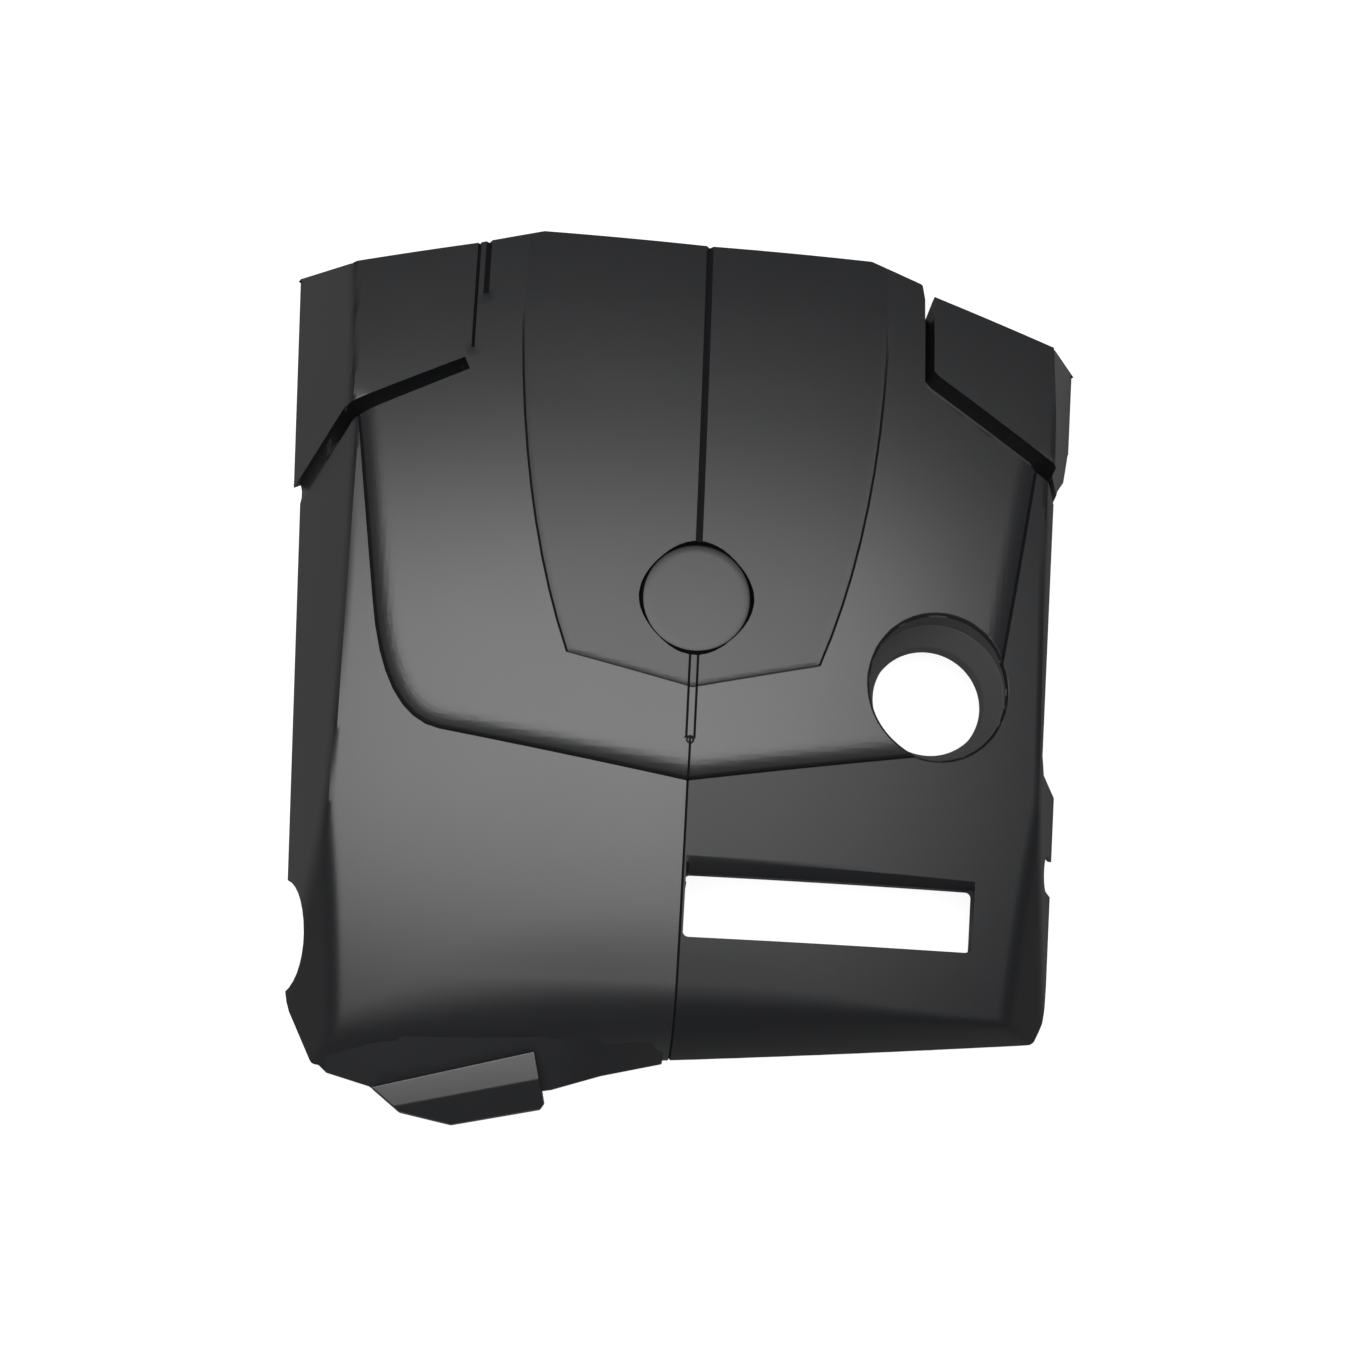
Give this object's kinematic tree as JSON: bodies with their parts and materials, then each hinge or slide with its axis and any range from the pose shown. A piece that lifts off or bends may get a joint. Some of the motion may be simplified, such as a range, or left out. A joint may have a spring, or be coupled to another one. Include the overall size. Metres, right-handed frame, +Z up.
{
  "type": "engine cover",
  "caption": "Moulded black plastic cover that pushes onto ball studs over an engine, with an opening around the oil filler, a front window and a blank badge disc.",
  "frame": {"origin": "middle of the cover's box in plan, at the level of the lowest edges of the flanks", "axes": "+Z up, square to the plane that the lowest edges stand on; +Y towards the rear edge; +X towards the oil filler opening's side"},
  "size_m": [0.6006, 0.629, 0.1164],
  "materials": {
    "cover_plastic": "fine moulded grain, satin",
    "badge_plastic": "fine moulded grain, satin",
    "rubber": "smooth, dull"
  },
  "bodies": {
    "root": {"cover_shell": "cover_plastic", "badge_disc": "badge_plastic", "grommet_rear_left": "rubber", "grommet_rear_right": "rubber", "grommet_front_left": "rubber", "grommet_front_right": "rubber"}
  },
  "joints": []
}
